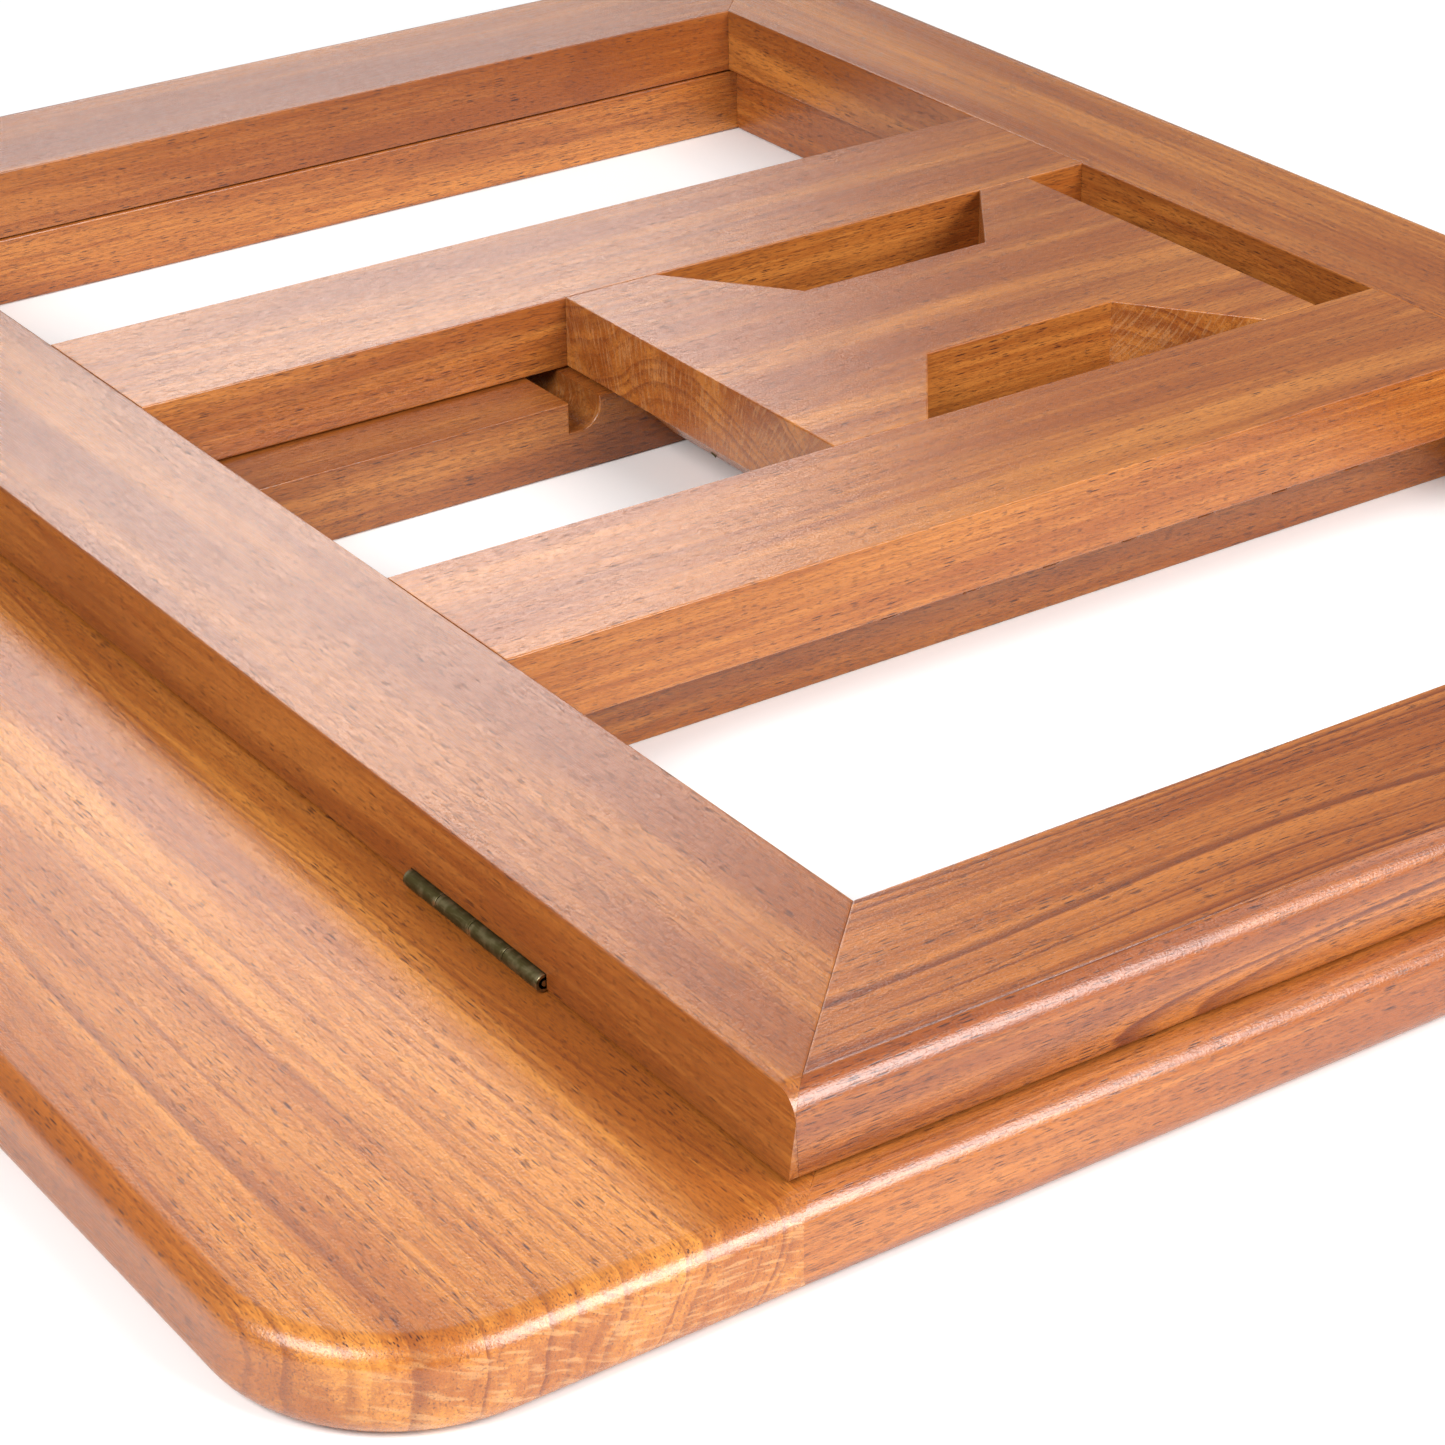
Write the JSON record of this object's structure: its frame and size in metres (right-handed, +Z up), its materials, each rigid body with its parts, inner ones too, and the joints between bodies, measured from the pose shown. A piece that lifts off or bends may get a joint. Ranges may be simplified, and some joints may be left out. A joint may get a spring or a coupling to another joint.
{
  "type": "photo album stand",
  "caption": "Folding wooden stand for a photo album: base with front ledge and notched racks, hinged slatted back rest and a swinging strut.",
  "frame": {"origin": "under the middle of the folded stand, on the table", "axes": "+X along the hinge line to the right, +Y from the ledge to the back, +Z up"},
  "size_m": [0.6, 0.514, 0.0405],
  "materials": {
    "beech": "cherry-stained beech under a semi-gloss lacquer",
    "inner_beech": "bare beech, glued out of sight",
    "brass": "antique brass, rubbed bright on the knuckles"
  },
  "bodies": {
    "base": {"front_board": "beech", "base_rear_rail": "beech", "left_side_rail": "beech", "right_side_rail": "beech", "left_rack_bar": "beech", "right_rack_bar": "beech", "base_front_left_spline": "inner_beech", "base_front_right_spline": "inner_beech", "base_rear_left_spline": "inner_beech", "base_rear_right_spline": "inner_beech", "left_hinge_lower_leaf": "brass", "left_hinge_lower_screw_1": "brass", "left_hinge_lower_screw_2": "brass", "left_hinge_pin": "brass", "left_rack_front_dowel": "inner_beech", "left_rack_rear_dowel": "inner_beech", "right_hinge_lower_leaf": "brass", "right_hinge_lower_screw_1": "brass", "right_hinge_lower_screw_2": "brass", "right_hinge_pin": "brass", "right_rack_front_dowel": "inner_beech", "right_rack_rear_dowel": "inner_beech"},
    "back_rest": {"bottom_rail": "beech", "top_rail": "beech", "left_stile": "beech", "right_stile": "beech", "left_slat": "beech", "right_slat": "beech", "centre_panel": "beech", "left_hinge_upper_leaf": "brass", "left_hinge_upper_screw_1": "brass", "left_hinge_upper_screw_2": "brass", "left_slat_front_dowel": "inner_beech", "left_slat_rear_dowel": "inner_beech", "rest_front_left_spline": "inner_beech", "rest_front_right_spline": "inner_beech", "rest_rear_left_spline": "inner_beech", "rest_rear_right_spline": "inner_beech", "right_hinge_upper_leaf": "brass", "right_hinge_upper_screw_1": "brass", "right_hinge_upper_screw_2": "brass", "right_slat_front_dowel": "inner_beech", "right_slat_rear_dowel": "inner_beech", "strut_hinge_pin": "brass", "strut_hinge_upper_leaf": "brass", "strut_hinge_upper_screw_1": "brass", "strut_hinge_upper_screw_2": "brass"},
    "strut": {"strut_head_bar": "beech", "left_strut_leg": "beech", "right_strut_leg": "beech", "strut_rung": "beech", "foot_dowel": "beech", "left_foot_screw": "brass", "right_foot_screw": "brass", "strut_hinge_lower_leaf": "brass", "strut_hinge_lower_screw_1": "brass", "strut_hinge_lower_screw_2": "brass"}
  },
  "joints": [
    {"name": "back_rest_tilt", "type": "hinge", "parent": "base", "child": "back_rest", "pos_m": [0, -0.1533, 0.0222], "axis": [1, 0, 0], "range_deg": [0, 57]},
    {"name": "strut_swing", "type": "hinge", "parent": "back_rest", "child": "strut", "pos_m": [0, 0.031, 0.0185], "axis": [1, 0, 0], "range_deg": [-124, 0]}
  ],
  "couplings": [
    {"joint": "strut_swing", "follows": "back_rest_tilt", "ratio": -2.17}
  ]
}
